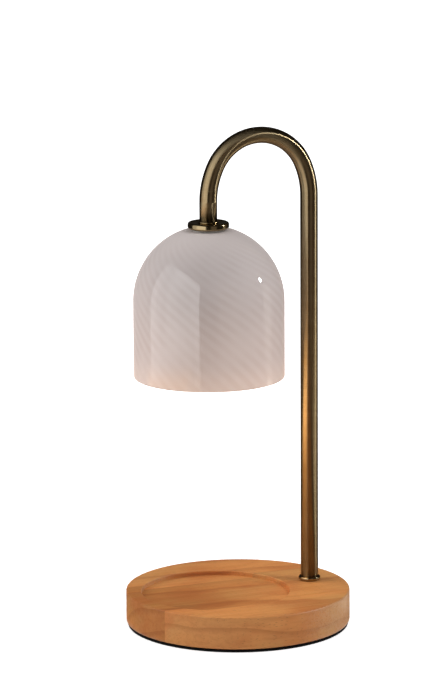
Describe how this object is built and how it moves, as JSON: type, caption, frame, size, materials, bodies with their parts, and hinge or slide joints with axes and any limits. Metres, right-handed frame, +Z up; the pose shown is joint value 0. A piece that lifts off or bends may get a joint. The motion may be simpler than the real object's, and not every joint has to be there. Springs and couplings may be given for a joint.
{
  "type": "candle warmer lamp",
  "caption": "Table lamp that melts a candle from above: round wooden base with a recess, bent brass tube arm, domed opal glass shade over a bayonet reflector bulb.",
  "frame": {"origin": "centre of the underside of the base's pad, where the lamp stands", "axes": "+Z up the post; +X from the base's centre towards the post and the cord inlet; the arm lies in the XZ plane"},
  "size_m": [0.15, 0.15, 0.3358],
  "materials": {
    "beech": "satin clear lacquer on light beech",
    "pad": "black foam rubber",
    "grommet": "moulded black",
    "terminal_plastic": "moulded white nylon",
    "plain_brass": "bright drawn brass",
    "zinc_steel": "zinc plated",
    "antique_brass_tube": "antique brass, brushed along the tube, lacquered",
    "antique_brass_ring": "antique brass, polished, lacquered",
    "live_sleeve": "brown silicone sleeve",
    "neutral_sleeve": "blue silicone sleeve",
    "silicone": "translucent white silicone",
    "opal_glass": "glossy pale pink-white opal with a twisted white stripe",
    "steatite": "unglazed white steatite",
    "reflector": "aluminised, faceted",
    "clear_glass": "clear",
    "filament": "coiled tungsten, lit"
  },
  "bodies": {
    "lamp": {"wood_base": "beech", "base_pad": "pad", "cord_grommet": "grommet", "terminal_block": "terminal_plastic", "terminal_barrels": "plain_brass", "terminal_screws": "zinc_steel", "terminal_fixing_screw": "zinc_steel", "post_washer": "zinc_steel", "post_nut": "zinc_steel", "post_stud": "zinc_steel", "post_collar": "antique_brass_ring", "arm_tube": "antique_brass_tube", "live_lead": "live_sleeve", "neutral_lead": "neutral_sleeve", "shade_cap": "antique_brass_ring", "upper_gasket": "silicone", "glass_shade": "opal_glass", "lower_gasket": "silicone", "clamp_plate": "zinc_steel", "shade_nut": "zinc_steel", "bracket_nut": "zinc_steel", "shade_stud": "zinc_steel", "holder_bracket": "zinc_steel", "holder_body": "steatite", "holder_face": "steatite", "holder_screws": "zinc_steel", "holder_contacts": "plain_brass"},
    "bulb": {"bulb_pins": "zinc_steel", "bulb_base": "steatite", "bulb_reflector": "reflector", "bulb_lens": "clear_glass", "bulb_capsule": "clear_glass", "capsule_cement": "steatite", "bulb_wires": "zinc_steel", "bulb_filament": "filament"}
  },
  "joints": [
    {"name": "bulb_bayonet", "type": "hinge", "parent": "lamp", "child": "bulb", "pos_m": [-0.0197, 0, 0.2282], "axis": [0, 0, -1], "range_deg": [0, 25]}
  ]
}
